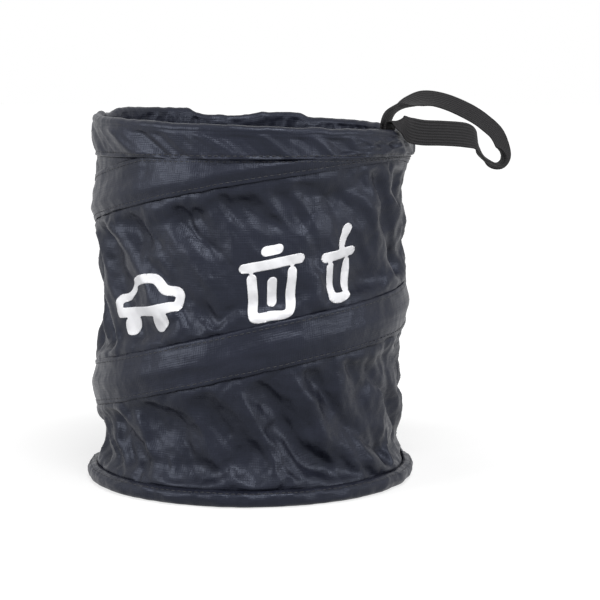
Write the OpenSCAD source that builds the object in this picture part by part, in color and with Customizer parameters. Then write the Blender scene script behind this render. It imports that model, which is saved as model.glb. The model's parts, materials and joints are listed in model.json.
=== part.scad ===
// Pop-up car bin: a nylon tube on one continuous spring wire, with an elastic hanging loop.
// Millimetres. The origin is the centre of the underside, +Z is up and the printed side faces -Y.
// Angles are measured from +X, anticlockwise as seen from above.

/* [Wall] */
// Outer radius of the fabric wall where it is sewn
wall_r = 75; // [66:0.1:88]
// Thickness of the coated nylon wall as modelled
wall_t = 0.8; // [0.6:0.1:1.2]
// Height of the seam under the rim casing
seam_z = 156.7; // [140:0.1:180]
// How far the wall is drawn in between two seams
waist = 1.1; // [0.4:0.1:1.8]
// Depth of the folds in the slack wall
fold_depth = 3; // [0:0.1:3.4]

/* [Rim] */
// Mean height of the rim casing above its seam
rim_h = 16.5; // [14:0.1:20]
// How far the rim's far end stands above its middle
rim_lean = 3; // [0:0.1:4]
// How far the back of the rim stands above its middle
rim_tip = 1.8; // [0:0.1:3]
// Height of the rim casing above its seam where the strap pulls it down
rim_low = 6.7; // [6:0.1:10]
// How far the rim ring has shifted towards the strap
rim_shift = 2; // [0:0.1:3]
// Thickness of the doubled cloth in the rim casing
rim_t = 0.6; // [0.5:0.05:0.9]
// How far the inner leaf of the rim casing reaches below the seam
hem_drop = 2; // [1:0.1:5]
// Depth of the gathers in the rim casing
gather = 0.7; // [0:0.1:1.5]

/* [Spring wire] */
// Diameter of the spring steel wire
wire_d = 1.4; // [1.2:0.1:2]
// Turns of the spiral between the base ring and the rim ring
turns = 2; // [2:1:3]
// How far above the rim's mean height the spiral aims before it bends into the rim ring
aim_over = 2; // [0:0.5:4]
// Length over which the spiral bends into the rim ring, as a rise
merge = 12; // [10:0.5:14]
// Uneven rise of the middle turn
sway = 3; // [0:0.1:4]
// Wall of the crimp sleeves
sleeve_t = 0.3; // [0.2:0.05:0.4]
// Length of a crimp sleeve along the wire
sleeve_len = 11; // [8:0.5:14]

/* [Spiral casing] */
// Width of the casing strip
band_w = 22; // [16:0.5:26]
// How far the strip has slipped up its wire on the last turn
band_slip = 4.7; // [0:0.1:5]
// Thickness of the casing strip
band_t = 0.4; // [0.35:0.05:0.7]

/* [Base] */
// Height of the base ring casing
base_h = 7.4; // [7:0.1:10]
// Radial width of the base ring casing
base_w = 4.7; // [4.2:0.1:6]
// Thickness of the cloth in the base ring casing
base_t = 0.5; // [0.4:0.05:0.7]
// Thickness of the round base panel
panel_t = 0.8; // [0.6:0.1:1.5]

/* [Hanging loop] */
// Width of the elastic strap
strap_w = 12; // [8:0.5:14]
// Thickness of the elastic strap
strap_t = 1.2; // [0.8:0.1:1.6]
// Where on the rim the loop is sewn
strap_a = -29; // [-34:1:-22]

/* [Printed mark] */
// Stroke width of the printed pictograms
stroke_w = 4.4; // [3:0.1:5]
// Thickness of the printed layer
print_t = 0.25; // [0.2:0.05:0.4]
// Direction that the car pictogram faces
car_a = 229; // [225:1:233]
// Direction that the bin pictogram faces
bin_a = 277; // [268:1:280]
// Direction that the cup pictogram faces
cup_a = 303; // [300:1:306]
// Height of the print's middle at the front
mark_z = 99; // [97:0.5:102]
// Rise of the print for each degree around the wall
mark_rise = 0.2; // [0.15:0.01:0.22]
// Length of the car pictogram, with the others in proportion
mark_len = 38; // [34:0.5:40]

/* [Clearance] */
// Gap between sewn layers, and round the wire
gap = 0.3; // [0.25:0.05:0.4]

/* [Hidden] */

// Faces along a full turn of the wall, the rim casing, the helix, the base ring and the rim ring
wall_n = 72;
wall_rows = 22;
rim_n = 60;
helix_step = 8;
ring_step = 8;
wire_sides = 6;

// Room for the flats of the faceted rings
facet_sag = 0.2;

// Radii of the layers, from the inside out
wall_in = wall_r - wall_t;
leaf_in_r = wall_in - gap - rim_t;
strap_seat_r = leaf_in_r - gap - strap_t / 2 - strap_w * strap_w / 8 / leaf_in_r - facet_sag;
wire_r = wire_d / 2;
spiral_r = wall_r + 1.5 * gap + wire_r;
band_bulge = 2.5 * gap + wire_d;
leaf_out_r = spiral_r + wire_r + 2.5 * gap + sleeve_t + rim_t;
sleeve_reach = wire_r + gap + facet_sag / 2 + sleeve_t;
base_in = wall_r + gap;
ring_r = base_in + base_w / 2 - 0.1;

// The spiral as a rise over its whole sweep
sweep = 360 * turns;
ring_low = base_t + 3 * gap + sleeve_t + facet_sag + wire_r;
ring_high = ring_low + wire_d + gap;
helix_z0 = ring_high + 0.5;
rise = seam_z + rim_h + aim_over - helix_z0;
spiral_start = 26;
spiral_end = sweep + 18;
wire_start = -392;
wire_end = sweep + 366;
base_crimp_a = wire_start + 10;

// How far the rim dips beside the strap, and how far the wall's edge stands above the rim's seam
rim_dip = rim_h - rim_lean - rim_low;
wall_tuck = 0.5;

// Where the slack of the wall fades out beside a seam
fold_reach = 12;
// Lead of the rim casing's outer leaf as it comes out from its seam
leaf_start = 1.5;
// Half the stretch of rim that the strap pulls down, in degrees
dip_sweep = 21;
print_calm = 0.76;
// Length at which the pictograms' points are drawn
drawn_len = 38;

// Small helpers
function clamp(x, lo, hi) = min(hi, max(lo, x));
function ease(x) = let (t = clamp(x, 0, 1)) t * t * (3 - 2 * t);
function soft_min(x, y, w) = (x + y - sqrt((x - y) * (x - y) + w * w)) / 2;
function soft_max(x, y, w) = (x + y + sqrt((x - y) * (x - y) + w * w)) / 2;
function lean_x(z) = rim_shift * pow(z / (seam_z + rim_h), 4);
function at(a, r, z) = [r * cos(a) + lean_x(z), r * sin(a), z];
function tangent(a) = [-sin(a), cos(a), 0];
function turned(v, a) = [v[0] * cos(a) - v[1] * sin(a), v[0] * sin(a) + v[1] * cos(a), v[2]];

// The rim's top edge, which dips beside the strap
function off_strap(a) = abs(a - 360 * round(a / 360));
function rim_top(a) =
    seam_z + rim_h - rim_lean * cos(a) + rim_tip * sin(a) - rim_dip * exp(-pow(off_strap(a) / dip_sweep, 2));
function rim_wire_z(a) = rim_top(a) - rim_t - 3 * gap - sleeve_t - wire_r;

// The wire's middle line: base ring, spiral, rim ring
function ring_z(a) = ring_low + (ring_high - ring_low) * ease((a + 80) / 50);
function helix_z(a) =
    helix_z0 + rise * a / sweep + sway * sin(180 * clamp(a / sweep, 0, 1)) * cos(2 * (a - 285));
function wire_z(a) = soft_min(soft_max(ring_z(a), helix_z(a), 2), rim_wire_z(a), merge);
function wire_path_r(a) = ring_r + (spiral_r - ring_r) * ease((a + 6) / 16);

// Edges of the casing strip, which ends under the base ring's seam and under the rim's
function slip(a) = band_slip * ease((a - sweep + 320) / 140);
function band_hi(a) = min(wire_z(a) + (band_w / 2 + slip(a)) * ease((a + 4) / 40), seam_z - gap);
function band_lo(a) =
    min(max(wire_z(a) - band_w / 2 + slip(a), base_h + gap), band_hi(a) - 3.2);

// The wall is held flat from here up, behind the rim casing
held_z = seam_z - hem_drop - 1;

// How far a point of the wall lies from its nearest seam
function off_band(a, z) =
    min([for (k = [0 : turns - 1]) max(z - band_hi(a + 360 * k), band_lo(a + 360 * k) - z)]);
function off_seam(a, z) = min(off_band(a, z), z - base_h, held_z - z);
function slack(a, z) = ease(off_seam(a, z) / fold_reach);

// The print stiffens the cloth, so the folds calm down under it
function near(a, z, a0) =
    ease(3 - 2 * sqrt(pow((a - a0) / 20, 2) + pow((z - mark_height(a0)) / 21, 2)));
function calm(a, z) = 1 - print_calm * max([for (m = [car_a, bin_a, cup_a]) near(a, z, m)]);

// Folds that run down to the right, about 22 apart, and shallower ones that cross them
function long_folds(a, z) = 1 - abs(sin(7 * a + 4.6 * z + 34 * sin(3 * a - 2.1 * z)));
function cross_folds(a, z) = 1 - abs(sin(5 * a - 4.4 * z + 50 + 30 * sin(2 * a + 3 * z)));
function folds(a, z) = 0.8 * long_folds(a, z) + 0.35 * cross_folds(a, z);
function wall_face(a, z) = wall_r - slack(a, z) * (waist + fold_depth * calm(a, z) * folds(a, z));

// The wall as it is faceted: its columns around, its rows from the panel up, and a point on its face
wall_low = panel_t + gap;
row_h = (held_z - wall_low) / (wall_rows - 1);
function row_z(k) = k == wall_rows ? seam_z + wall_tuck : wall_low + row_h * k;
function wall_point(i, k) = let (a = 360 * i / wall_n, z = row_z(k)) at(a, wall_face(a, z), z);
function on_wall(a, z) =
    let (x = a * wall_n / 360, y = (z - wall_low) / row_h, i = floor(x), k = floor(y), s = x - i, t = y - k,
         p = wall_point(i, k), q = wall_point(i + 1, k + 1),
         side = t > s ? wall_point(i, k + 1) : wall_point(i + 1, k))
    t > s ? p + t * (side - p) + s * (q - side) : p + s * (side - p) + t * (q - side);

// Joins a list of closed loops of points into one solid, end to end or as a closed ring
module skin(loops, closed = false) {
    n = len(loops);
    m = len(loops[0]);
    spans = closed ? n : n - 1;
    sides = [for (i = [0 : spans - 1], j = [0 : m - 1])
        let (a = i * m + j, b = i * m + (j + 1) % m,
             c = ((i + 1) % n) * m + (j + 1) % m, d = ((i + 1) % n) * m + j)
        each [[a, b, c], [a, c, d]]];
    caps = closed ? [] : [[for (j = [m - 1 : -1 : 0]) j], [for (j = [0 : m - 1]) (n - 1) * m + j]];
    polyhedron(points = [for (l = loops) each l], faces = concat(sides, caps), convexity = 10);
}

// Smooth curve through a list of points, with count pieces between two points
function spline_at(p, i, t) =
    let (n = len(p), a = p[max(i - 1, 0)], b = p[i], c = p[min(i + 1, n - 1)], d = p[min(i + 2, n - 1)])
    0.5 * (2 * b + (c - a) * t + (2 * a - 5 * b + 4 * c - d) * t * t
        + (3 * b - a - 3 * c + d) * t * t * t);
function spline(p, count) =
    concat([for (i = [0 : len(p) - 2], k = [0 : count - 1]) spline_at(p, i, k / count)], [p[len(p) - 1]]);

// Round disc sewn into the base ring
module base_panel() {
    color("#24252c")
        cylinder(r = wall_r, h = panel_t, $fn = 128);
}

// Half-round outline of the base ring casing, flat towards the wall
function sleeve_outline(r0, w, z0, h) =
    [for (i = [0 : 14]) let (f = -90 + 180 * i / 14)
        [r0 + w * pow(max(cos(f), 0), 0.6), z0 + h / 2 * (1 + sin(f))]];

// Fabric sleeve round the base ring, with the slit where the wire leaves it
module base_casing() {
    slit_from = -6;
    slit_sweep = 34;
    color("#2b2d39")
        difference() {
            rotate_extrude($fn = 128)
                difference() {
                    polygon(sleeve_outline(base_in, base_w, 0, base_h));
                    polygon(sleeve_outline(base_in + base_t, base_w - 2 * base_t, base_t, base_h - 2 * base_t));
                }
            rotate([0, 0, slit_from])
                rotate_extrude(angle = slit_sweep, $fn = 128)
                    translate([base_in - 1, ring_high])
                        square([base_w + 2, base_h]);
        }
}

// Thin folded tube, from the panel up between the leaves of the rim casing
module wall_fabric() {
    function inward(i) = wall_t * [cos(360 * i / wall_n), sin(360 * i / wall_n), 0];
    function column(i) = concat(
        [for (k = [0 : wall_rows]) wall_point(i, k)],
        [for (k = [wall_rows : -1 : 0]) wall_point(i, k) - inward(i)]);
    color("#30323e")
        skin([for (i = [0 : wall_n - 1]) column(i)], closed = true);
}

// Bulge of the casing strip over its wire, h above the wire's middle
function tent(h, lo, hi) =
    let (s = h < 0 ? (-h - 1) / (lo - 1) : (h - 1) / (hi - 1))
    band_bulge * pow(1 - clamp(s, 0, 1), 1.2);

// Strip sewn round the wall along both edges, with the wire in it
module spiral_casing() {
    function section(a) =
        let (zw = wire_z(a), lo = band_lo(a), hi = band_hi(a), mid = clamp(zw, lo + 1.4, hi - 1.4),
             levels = [lo, mid - 1, mid + 1, (mid + 1 + hi) / 2, hi],
             faces = [for (z = levels) [wall_r + gap + tent(z - zw, zw - lo + 0.1, max(hi - zw, 0) + 1.1), z]])
        concat([for (p = faces) at(a, p[0] + band_t, p[1])],
               [for (i = [4 : -1 : 0]) at(a, faces[i][0], faces[i][1])]);
    color("#45475a")
        skin([for (a = [spiral_start : helix_step : spiral_end]) section(a)]);
}

// One wire: the base ring, the spiral and the rim ring in a single bend
module spring_wire() {
    function section(a) =
        [for (j = [0 : wire_sides - 1]) let (f = -360 * j / wire_sides)
            at(a, wire_path_r(a) + wire_r * cos(f), wire_z(a) - wire_r * sin(f))];
    stations = concat([for (a = [wire_start : ring_step : -ring_step]) a],
                      [for (a = [0 : helix_step : wire_end]) a]);
    color("#8d9096")
        skin([for (a = stations) section(a)]);
}

// Oval crimp sleeve that ties one strand of the wire to the strand a full turn on
module crimp_sleeve(a_mid) {
    half_sweep = sleeve_len / spiral_r * 90 / PI;
    bore = sleeve_reach - sleeve_t;
    function oval(a, r) =
        let (low = wire_z(a), high = wire_z(a + 360))
        [for (j = [0 : 11]) let (f = 15 + 360 * j / 12)
            at(a, (wire_path_r(a) + wire_path_r(a + 360)) / 2 + r * cos(f),
               (sin(f) > 0 ? high : low) + r * sin(f))];
    places = [for (k = [-1 : 1]) a_mid + k * half_sweep];
    color("#b9bbc0")
        skin(concat([for (a = places) oval(a, bore + sleeve_t)],
                    [for (i = [2 : -1 : 0]) oval(places[i], bore)]), closed = true);
}

// Crimp that closes the base ring
module base_wire_sleeve() {
    crimp_sleeve(base_crimp_a);
}

// Crimp that closes the rim ring
module rim_wire_sleeve() {
    crimp_sleeve(sweep);
}

// Height above the seam from which the outer leaf has to clear the wire and its crimp. A turn of
// the wire that is still well under the seam doesn't count.
function clear_h(a) =
    let (over = [for (k = [turns - 1, turns]) wire_z(a + 360 * k) - seam_z])
    max(0, min([for (h = over) h < -band_w / 2 ? rim_h : h]) - sleeve_reach - gap);
// How far the outer leaf has come out from the seam at a height above it
function leaf_share(a, h) = clamp((h + leaf_start) / (clear_h(a) + leaf_start), 0, 1);

// Cloth folded over the rim ring, with an outer and an inner leaf
module rim_casing() {
    foot_r = wall_r + gap + rim_t;
    function leaf(a, h) = foot_r + (leaf_out_r - foot_r) * leaf_share(a, h);
    function gathers(a) =
        gather * (0.5 + 0.3 * sin(9 * a + 40) + 0.2 * sin(14 * a + 25 * sin(2 * a)));
    function section(a) =
        let (s = seam_z, t = rim_top(a), h = t - s, g = gathers(a) * ease((h - 5) / 8), ri = leaf_in_r,
             r0 = leaf(a, 0), r1 = leaf(a, 0.3 * h) + g, r2 = leaf(a, 0.6 * h) + 0.6 * g, r3 = leaf_out_r,
             outer = [[r0, s], [r1, s + 0.3 * h], [r2, s + 0.6 * h], [r3, t - 2],
                      [r3 - 0.8, t - 0.6], [(r3 + ri) / 2, t], [ri + 0.8, t - 0.7], [ri, t - 2.2],
                      [ri, s - hem_drop]],
             inner = [[ri + rim_t, s - hem_drop], [ri + rim_t, t - 2.4], [(r3 + ri) / 2, t - rim_t],
                      [r3 - rim_t, t - 2.1], [r2 - rim_t, s + 0.6 * h], [r1 - rim_t, s + 0.3 * h],
                      [r0 - rim_t, s]])
        [for (p = concat(outer, inner)) at(a, p[0], p[1])];
    color("#3a3c49")
        skin([for (i = [0 : rim_n - 1]) section(360 * i / rim_n)], closed = true);
}

// The strap's route from the far tail round the loop to the near tail, for a loop sewn at -29.
// Each row is a point, as an offset from where the near tail crosses the rim, and the direction
// of the strap's width there.
route_a = -29;
strap_route = [
    [[-1.4, 0.8, -9], tangent(route_a)],
    [[-1.4, 0.8, 0], tangent(route_a)],
    [[-0.7, 1.5, 4], tangent(route_a)],
    [[2.3, 6, 7.4], [0.3, 0.95, 0]],
    [[5, 11, 9.3], [0.1, 0.99, 0]],
    [[8.5, 16, 11], [0, 0.98, 0.15]],
    [[14, 24, 13.3], [-0.1, 0.93, 0.35]],
    [[22, 33, 14.7], [-0.05, 0.83, 0.55]],
    [[32, 39.5, 12.7], [0.1, 0.77, 0.63]],
    [[43, 43, 8], [0.3, 0.74, 0.6]],
    [[50, 43, 3.5], [0.38, 0.74, 0.55]],
    [[56, 40, -2.5], [0.5, 0.75, 0.4]],
    [[58.7, 36, -10], [0.65, 0.76, 0]],
    [[57.5, 32, -14.5], [0.4, 0.9, 0]],
    [[53.5, 27, -16.5], [0, 1, 0]],
    [[47, 20, -13], [0, 1, 0]],
    [[44, 16, -8.5], [0.1, 1, 0.1]],
    [[41.5, 12, -4], [0.1, 0.6, 0.75]],
    [[36, 8.7, -2.2], [0, 0.15, 1]],
    [[26, 5, -1.4], [0, 0, 1]],
    [[16, 2, -1], [0, 0, 1]],
    [[10, 0.2, 0.3], [0, 0.2, 0.95]],
    [[6, -2, 3], [0.2, 0.75, 0.6]],
    [[2.8, -1.3, 4], tangent(route_a)],
    [[0.4, -0.2, 2], tangent(route_a)],
    [[0, 0, -9], tangent(route_a)]];

// Elastic strap, both ends sewn one over the other inside the rim
module hanging_strap() {
    root = at(strap_a, strap_seat_r, rim_top(strap_a));
    turn = strap_a - route_a;
    middle = spline([for (p = strap_route) root + turned(p[0], turn)], 2);
    width = spline([for (p = strap_route) turned(p[1], turn)], 2);
    n = len(middle);
    function section(i) =
        let (along = middle[min(i + 1, n - 1)] - middle[max(i - 1, 0)],
             raw = width[i] - along * (width[i] * along) / (along * along),
             w = raw / norm(raw) * strap_w / 2,
             across = cross(along, raw),
             t = across / norm(across) * strap_t / 2)
        [middle[i] + w + t, middle[i] + w - t, middle[i] - w - t, middle[i] - w + t];
    color("#3e3d42")
        skin([for (i = [0 : n - 1]) section(i)]);
}

// A place on the print: u to the right and v up from the middle of a pictogram
function mark_height(a) = mark_z + mark_rise * (a - 270);
function mark_point(a0, u, v, lift) =
    let (a = a0 + u / wall_r * 180 / PI)
    on_wall(a, mark_height(a) + v) + lift * [cos(a), sin(a), 0];
function grown(path) = [for (p = path) p * mark_len / drawn_len];

// Flat printed stroke along a path on the wall
module stroke(a0, drawn, closed = false) {
    path = grown(drawn);
    n = len(path);
    function next(i) = closed ? path[(i + 1) % n] : path[min(i + 1, n - 1)];
    function last(i) = closed ? path[(i + n - 1) % n] : path[max(i - 1, 0)];
    function section(i) =
        let (along = next(i) - last(i), side = [-along[1], along[0]] / norm(along) * stroke_w / 2,
             l = path[i] + side, r = path[i] - side)
        [mark_point(a0, l[0], l[1], gap), mark_point(a0, r[0], r[1], gap),
         mark_point(a0, r[0], r[1], gap + print_t), mark_point(a0, l[0], l[1], gap + print_t)];
    skin([for (i = [0 : n - 1]) section(i)], closed = closed);
}

function ring_path(c, r, n) = [for (i = [0 : n - 1]) c + r * [cos(360 * i / n), sin(360 * i / n)]];

// Side view of a plain car
module car_mark() {
    body = [[-19, -2], [-19, 2.5], [-12, 4.5], [-6.5, 10.5], [5.5, 10.5], [12, 4.5], [19, 2.5], [19, -2],
            [18, -3.5]];
    loop = concat(spline(body, 2), [[9, -3.5], [0, -3.5], [-9, -3.5], [-18, -3.5]]);
    stroke(car_a, loop, closed = true);
    for (u = [-10, 10])
        stroke(car_a, ring_path([u, -9.2], 2.5, 10), closed = true);
}

// Plain waste bin with a lid
module bin_mark() {
    tub = [[-9.5, 5], [-8.6, -4], [-7.8, -13], [0, -13.4], [7.8, -13], [8.6, -4], [9.5, 5]];
    stroke(bin_a, spline(tub, 2));
    stroke(bin_a, [for (u = [-13 : 3.25 : 13]) [u, 10]]);
    stroke(bin_a, [for (v = [2 : -3 : -7]) [0, v]]);
    stroke(bin_a, [[-3, 16], [0, 16], [3, 16]]);
}

// Plain paper cup with a straw
module cup_mark() {
    tub = [[-5.5, 3], [-4.8, -4], [-4, -11], [4, -11], [4.8, -4], [5.5, 3]];
    stroke(cup_a, spline(tub, 2));
    stroke(cup_a, [for (u = [-8 : 4 : 8]) [u, 7.6]]);
    stroke(cup_a, [[1.5, 11.5], [3, 15], [4.5, 18.5]]);
}

// White screen print on the wall
module printed_mark() {
    color("#f6f6fa") {
        car_mark();
        bin_mark();
        cup_mark();
    }
}

base_panel();
base_casing();
wall_fabric();
spiral_casing();
spring_wire();
base_wire_sleeve();
rim_wire_sleeve();
rim_casing();
hanging_strap();
printed_mark();
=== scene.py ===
# Looks of a pop-up car bin: crumpled nylon on one continuous spring wire, with an elastic loop.
# Sizes are millimetres and become metres when a mesh is made. Angles are degrees from +X,
# anticlockwise from above. The printed side faces -Y.
import json
import math

import bpy
import numpy as np
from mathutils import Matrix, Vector, noise


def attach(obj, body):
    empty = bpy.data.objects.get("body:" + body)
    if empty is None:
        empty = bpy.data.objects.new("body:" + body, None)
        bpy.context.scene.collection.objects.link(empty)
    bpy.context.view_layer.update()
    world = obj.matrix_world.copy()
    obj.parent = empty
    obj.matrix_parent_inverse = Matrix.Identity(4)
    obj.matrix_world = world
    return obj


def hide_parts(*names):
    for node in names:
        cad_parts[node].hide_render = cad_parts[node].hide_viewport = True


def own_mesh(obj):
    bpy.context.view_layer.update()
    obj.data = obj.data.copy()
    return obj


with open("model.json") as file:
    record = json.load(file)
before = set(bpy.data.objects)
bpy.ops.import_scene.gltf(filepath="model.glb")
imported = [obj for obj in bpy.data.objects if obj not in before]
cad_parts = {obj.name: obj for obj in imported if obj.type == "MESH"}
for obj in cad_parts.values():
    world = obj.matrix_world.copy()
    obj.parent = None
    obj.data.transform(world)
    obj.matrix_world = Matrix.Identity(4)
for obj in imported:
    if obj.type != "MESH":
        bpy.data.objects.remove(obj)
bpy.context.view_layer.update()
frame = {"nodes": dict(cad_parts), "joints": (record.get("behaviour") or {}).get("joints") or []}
bpy.ops.object.select_all(action="DESELECT")

MM = 0.001

# Wall
WALL_R = 75.0
SEAM_Z = 156.7
WALL_LOW = 1.1
WALL_TOP = 157.2
WALL_T = 0.45
ONE_DEGREE = WALL_R / 57.3
WALL_COLUMNS = 380
WALL_ROWS = 127

# Rim
RIM_H = 16.5
RIM_LEAN = 3.0
RIM_TIP = 1.8
RIM_LOW = 6.7
RIM_DIP = RIM_H - RIM_LEAN - RIM_LOW
RIM_SHIFT = 2.0
RIM_T = 0.6
HEM_DROP = 1.0
HELD_Z = SEAM_Z - 3.0
DIP_SWEEP = 21.0

# Spring wire
WIRE_R = 0.7
TURNS = 2
SWEEP = 360 * TURNS
AIM_OVER = 2.0
MERGE = 12.0
SWAY = 3.0
GAP = 0.3
SLEEVE_T = 0.3
WIRE_START = -392
WIRE_END = SWEEP + 366
WIRE_SPLIT = SWEEP - 60
WIRE_STEP = 4
WIRE_SIDES = 10
SPIRAL_R = WALL_R + 1.5 * GAP + WIRE_R

# Spiral casing
BAND_W = 22.0
BAND_SLIP = 4.7
BAND_T = 0.4
BAND_BULGE = 2.1
BAND_START = 6.0
BAND_END = SWEEP + 18.0
BAND_STEP = 0.75
BAND_A = np.arange(BAND_START, BAND_END + BAND_STEP / 2, BAND_STEP)
BAND_ROWS = 19
BAND_SEAM_IN = 2.0
BAND_SEAM_SKIP = 40

# Thickness of the rim casing and of the base casing
CASING_T = 0.45

# Base
BASE_H = 7.4
BASE_W = 4.7
BASE_IN = WALL_R + GAP
RING_R = BASE_IN + BASE_W / 2 - 0.1
RING_LOW = 2.6
RING_HIGH = 4.3
HELIX_Z0 = RING_HIGH + 0.5
RISE = SEAM_Z + RIM_H + AIM_OVER - HELIX_Z0
PANEL_T = 0.8

# Hanging loop
STRAP_W = 12.0
STRAP_T = 1.2
STRAP_A = -29
STRAP_SEAT = 3.04
STRAP_RIBS = 9
STRAP_SPANS = 8
RIB_RISE = 0.24
RIB_STEPS = 5

# Printed mark
STROKE_W = 4.4
PRINT_LIFT = 0.16
PRINT_SINK = 0.03
PRINT_CELL = 0.45
PRINT_X = (-22.5, 22.5)
PRINT_Y = (-17, 22.5)
CAR_A = 229
BIN_A = 277
CUP_A = 303
MARK_Z = 99.0
MARK_RISE = 0.2

# The bin folds flat by this travel
TRAVEL = -1000 * next(j for j in frame["joints"] if j["name"] == "collapse")["range_m"][0]

# The wall's main folds, as in the part's source
WAIST = 1.1
FOLD_DEPTH = 3.0
FOLD_REACH = 12.0
PRINT_CALM = 0.76
FOLD_OVER = 1.25

# Slack of the wall as it was cut: its width and height as shares, and its twist in degrees
WALL_WIDE = 1.02
WALL_TALL = 1.02
WALL_SHEAR = 2.5

# How far the wall may lie inside and outside its seams' radius, and outside it under a casing
WALL_IN = 7
WALL_OUT = 2
COVERED_OUT = 0.4

# Rim casing grid, and where along it the cloth turns over the wire
RIM_COLUMNS = 480
RIM_ROWS = 64
RIM_TURN_LOW = 0.43
RIM_TURN_HIGH = 0.52

# Rim casing: its outer leaf beyond the wire, its inner leaf inside the wall, and its lower edge
RIM_OUT = 0.9
RIM_IN = 1.7
RIM_FOOT = 0.62

# Middle and reach of the gathers beside the strap, and how deep the rim casing's folds may go
GATHER_A = 360 + STRAP_A - 8
GATHER_REACH = 24
RIM_DEEPEST = -4

# Where slack cloth stands above the rim wire: from and to which angle, and how high
RIM_TUFTS = ((113, 161, 2.4), (67, 93, 1.9), (168, 178, 1.6), (30, 38, 0.8))

# Base casing grid
BASE_COLUMNS = 380
BASE_ROWS = 22

# Sewing thread, and where it runs: share of the rim casing's run, share of the base casing's face
THREAD_D = 0.38
STITCH_PITCH = 2.9
RIM_SEAM = 0.055
BASE_SEAM = 0.78

# Light from the surroundings, and how white the floor looks by itself, near the bin and far from it
WORLD_LIGHT = 0.07
FLOOR_NEAR = 0.72
FLOOR_FAR = 1.0

# Camera, in metres: where it stands and where it looks. Its lens is in millimetres.
CAMERA_PLACE = (0, -0.85, 0.185)
CAMERA_AIM = (0.0243, 0, 0.0853)
CAMERA_LENS = 104.76

# Lamps: name, place in metres, size in metres and power in watts. They all face one point.
LAMPS = (
    ("lamp_left", (-0.9, -0.55, 0.45), 0.5, 6.5),
    ("lamp_right", (0.85, -0.55, 0.35), 0.4, 3.7),
    ("lamp_top", (0.15, -0.6, 0.95), 0.4, 7.4),
)
LAMP_AIM = (0, 0, 0.09)

# The wall settles in units of this many millimetres, over this many frames
SETTLE_UNIT = 20.0
SETTLE_FRAMES = 24


def clamp(x, low, high):
    return np.minimum(high, np.maximum(low, x))


def ease(x):
    t = clamp(x, 0, 1)
    return t * t * (3 - 2 * t)


def sin_of(a):
    return np.sin(np.radians(a))


def cos_of(a):
    return np.cos(np.radians(a))


def hump(x, wide):
    """Smooth rise to 1 where x is 0."""
    return np.exp(-((x / wide) ** 2))


def unit(v):
    """Vectors made one long."""
    return v / np.maximum(np.linalg.norm(v, axis=-1, keepdims=True), 1e-9)


def run_of(path):
    """Distance along a path, at each of its points."""
    return np.concatenate([[0], np.cumsum(np.linalg.norm(np.diff(path, axis=0), axis=1))])


def soft_min(x, y, w):
    return (x + y - np.sqrt((x - y) ** 2 + w * w)) / 2


def soft_max(x, y, w):
    return (x + y + np.sqrt((x - y) ** 2 + w * w)) / 2


def lean_x(z):
    """How far the open bin leans to the right at a height."""
    return RIM_SHIFT * (z / (SEAM_Z + RIM_H)) ** 4


def at(a, r, z):
    """Points in millimetres for angles, radii and heights."""
    a, r, z = np.broadcast_arrays(np.asarray(a, float), r, z)
    return np.stack([r * cos_of(a) + lean_x(np.maximum(z, 0)), r * sin_of(a), z], -1)


def off_strap(a):
    """Angle from the side where the strap pulls the rim down."""
    return np.abs(a - 360 * np.round(a / 360))


def rim_top(a):
    dip = RIM_DIP * hump(off_strap(a), DIP_SWEEP)
    return SEAM_Z + RIM_H - RIM_LEAN * cos_of(a) + RIM_TIP * sin_of(a) - dip


def rim_wire_z(a):
    return rim_top(a) - RIM_T - 3 * GAP - SLEEVE_T - WIRE_R


def ring_z(a):
    return RING_LOW + (RING_HIGH - RING_LOW) * ease((a + 80) / 50)


def helix_z(a):
    sway = SWAY * sin_of(180 * clamp(a / SWEEP, 0, 1)) * cos_of(2 * (a - 285))
    return HELIX_Z0 + RISE * a / SWEEP + sway


def wire_z(a):
    return soft_min(soft_max(ring_z(a), helix_z(a), 2), rim_wire_z(a), MERGE)


def wire_path_r(a):
    return RING_R + (SPIRAL_R - RING_R) * ease((a + 6) / 16)


def slip(a):
    """How far the casing strip has slipped up its wire."""
    return BAND_SLIP * ease((a - SWEEP + 320) / 140)


def band_hi(a):
    """Upper edge of the casing strip, which goes under the rim casing."""
    return np.minimum(wire_z(a) + (BAND_W / 2 + slip(a)) * ease((a + 4) / 40), SEAM_Z + 1)


def band_lo(a):
    """Lower edge of the casing strip, which starts on the base casing."""
    return np.minimum(np.maximum(wire_z(a) - BAND_W / 2 + slip(a), BASE_H + GAP), band_hi(a) - 1.6)


def off_seam(a, z):
    """How far a point of the wall is from its nearest seam, negative where a casing covers it."""
    bands = [np.maximum(z - band_hi(a + 360 * k), band_lo(a + 360 * k) - z) for k in range(TURNS)]
    return np.minimum.reduce(bands + [z - BASE_H, HELD_Z - z])


def mark_height(a):
    return MARK_Z + MARK_RISE * (a - 270)


def calm_of(a, z):
    """The print stiffens the cloth, so its folds calm down there."""
    marks = [np.hypot((a - m) / 20, (z - mark_height(m)) / 21) for m in (CAR_A, BIN_A, CUP_A)]
    return 1 - PRINT_CALM * ease(3 - 2 * np.minimum.reduce(marks))


def wall_face(a, z):
    """Radius of the wall with its main folds."""
    slack = ease(off_seam(a, z) / FOLD_REACH)
    calm = calm_of(a, z)
    long_folds = 1 - np.abs(sin_of(7 * a + 4.6 * z + 34 * sin_of(3 * a - 2.1 * z)))
    cross_folds = 1 - np.abs(sin_of(5 * a - 4.4 * z + 50 + 30 * sin_of(2 * a + 3 * z)))
    return WALL_R - slack * (WAIST + FOLD_DEPTH * calm * (0.8 * long_folds + 0.35 * cross_folds))


def noise_at(points, size, seed):
    """Smooth noise from -1 to 1, whose bumps are about size across."""
    moved = points.reshape(-1, 3) / size + np.array([17.3, 5.7, 11.9]) * seed
    return np.array([noise.noise(p) for p in moved.tolist()]).reshape(points.shape[:-1])


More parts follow.
